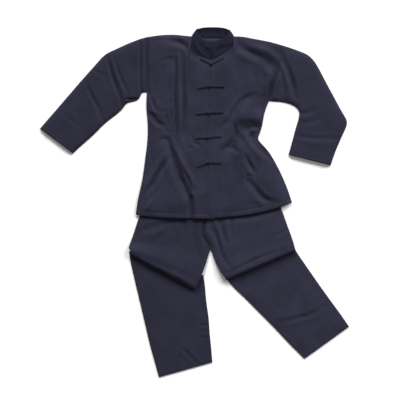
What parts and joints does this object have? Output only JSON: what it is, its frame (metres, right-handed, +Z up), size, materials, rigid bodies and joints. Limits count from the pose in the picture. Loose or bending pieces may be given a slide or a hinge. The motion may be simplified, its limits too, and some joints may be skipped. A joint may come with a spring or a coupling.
{
  "type": "tai chi uniform",
  "caption": "Long-sleeved jacket with a stand collar and knotted frog closures, laid flat over elastic-waist trousers tucked at the knees.",
  "frame": {"origin": "under the middle of the laid-out set, on the surface it lies on", "axes": "+Y from the trouser hems towards the collar, +X across with the wearer's left side at +X, +Z up off the surface"},
  "size_m": [1.174, 1.328, 0.0252],
  "materials": {
    "cloth": "matt plain-weave cotton, dark navy",
    "frog": "rolled cotton cord, darker navy",
    "label": "bare woven tape, dull grey"
  },
  "bodies": {
    "root": {"jacket_back": "cloth", "jacket_front_left": "cloth", "jacket_front_right": "cloth", "sleeve_left": "cloth", "sleeve_right": "cloth", "collar": "cloth", "neck_label": "label", "trouser_front_left": "cloth", "trouser_back_left": "cloth", "trouser_front_right": "cloth", "trouser_back_right": "cloth", "trouser_waistband": "cloth", "frog_1_left": "frog", "frog_1_right": "frog", "frog_1_knot": "frog", "frog_2_left": "frog", "frog_2_right": "frog", "frog_2_knot": "frog", "frog_3_left": "frog", "frog_3_right": "frog", "frog_3_knot": "frog", "frog_4_left": "frog", "frog_4_right": "frog", "frog_4_knot": "frog", "frog_5_left": "frog", "frog_5_right": "frog", "frog_5_knot": "frog"}
  },
  "joints": []
}
